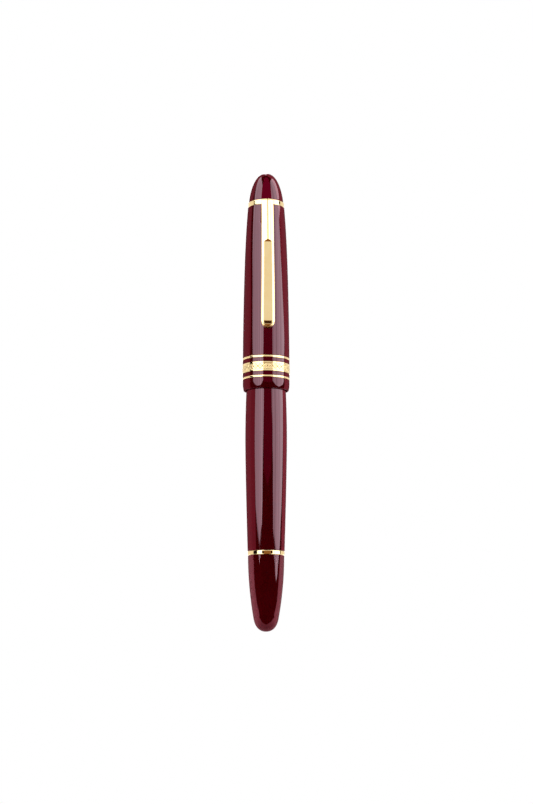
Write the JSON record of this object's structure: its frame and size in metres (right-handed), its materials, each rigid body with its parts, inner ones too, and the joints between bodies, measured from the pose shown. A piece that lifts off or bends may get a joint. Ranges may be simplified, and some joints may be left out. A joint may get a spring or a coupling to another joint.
{
  "type": "fountain pen",
  "caption": "Piston-filling fountain pen in glossy burgundy resin with gold trim, a screw cap with a sprung clip, a finned feed and a two-tine nib.",
  "frame": {"origin": "tip of the blind end, on the pen's axis", "axes": "+Z along the pen's axis from the blind end to the cap's crown; the clip and the nib's face look along -Y"},
  "size_m": [0.015, 0.017, 0.146],
  "materials": {
    "resin": "polished burgundy resin",
    "gold_trim": "polished gold plate",
    "brass": "machined",
    "gold_nib": "polished, two-tone",
    "hard_tip": "ground and polished",
    "steel": "machined",
    "window": "smoked transparent",
    "feed_black": "satin",
    "liner": "moulded",
    "rod_white": "moulded",
    "seal": "smooth"
  },
  "bodies": {
    "barrel": {"barrel": "resin", "ink_window": "window", "section": "resin", "feed_collar": "feed_black", "feed": "feed_black", "nib": "gold_nib", "nib_tip": "hard_tip", "piston_collar": "brass", "piston_ring": "gold_trim"},
    "piston": {"piston_rod": "rod_white", "piston_head": "seal"},
    "knob_carriage": {"knob_insert": "brass"},
    "knob": {"knob": "resin", "spindle": "steel"},
    "cap_carriage": {"inner_cap": "liner"},
    "cap_screw_carrier": {"cap_bush": "brass"},
    "cap": {"cap_tube": "resin", "trim_ring_lower": "gold_trim", "spacer_lower": "resin", "centre_band": "gold_trim", "spacer_upper": "resin", "trim_ring_upper": "gold_trim", "cap_lip": "resin", "clip_ring": "gold_trim", "finial_stud": "brass", "cap_finial": "resin"},
    "clip": {"clip": "gold_trim"}
  },
  "joints": [
    {"name": "cap_pull", "type": "slide", "parent": "barrel", "child": "cap_carriage", "axis": [0, 0, 1], "range_m": [0, 0.065]},
    {"name": "cap_rise", "type": "slide", "parent": "cap_carriage", "child": "cap_screw_carrier", "axis": [0, 0, 1], "range_m": [0, 0.0041]},
    {"name": "cap_turn", "type": "hinge", "parent": "cap_screw_carrier", "child": "cap", "pos_m": [0, 0, 0.0752], "axis": [0, 0, 1], "range_deg": [0, 450]},
    {"name": "clip_flex", "type": "hinge", "parent": "cap", "child": "clip", "pos_m": [0, -0.006, 0.1353], "axis": [-1, 0, 0], "range_deg": [0, 4], "stiffness_Nm_per_rad": 2},
    {"name": "knob_travel", "type": "slide", "parent": "barrel", "child": "knob_carriage", "axis": [0, 0, -1], "range_m": [0, 0.005]},
    {"name": "knob_turn", "type": "hinge", "parent": "knob_carriage", "child": "knob", "pos_m": [0, 0, 0], "axis": [0, 0, -1], "range_deg": [0, 1440]},
    {"name": "piston_travel", "type": "slide", "parent": "barrel", "child": "piston", "axis": [0, 0, 1], "range_m": [0, 0.0201]}
  ],
  "couplings": [
    {"joint": "cap_rise", "follows": "cap_turn", "m_per_rad": 0.0005093},
    {"joint": "knob_turn", "follows": "knob_travel", "rad_per_m": 5026.5},
    {"joint": "piston_travel", "follows": "knob_travel", "ratio": 4}
  ]
}
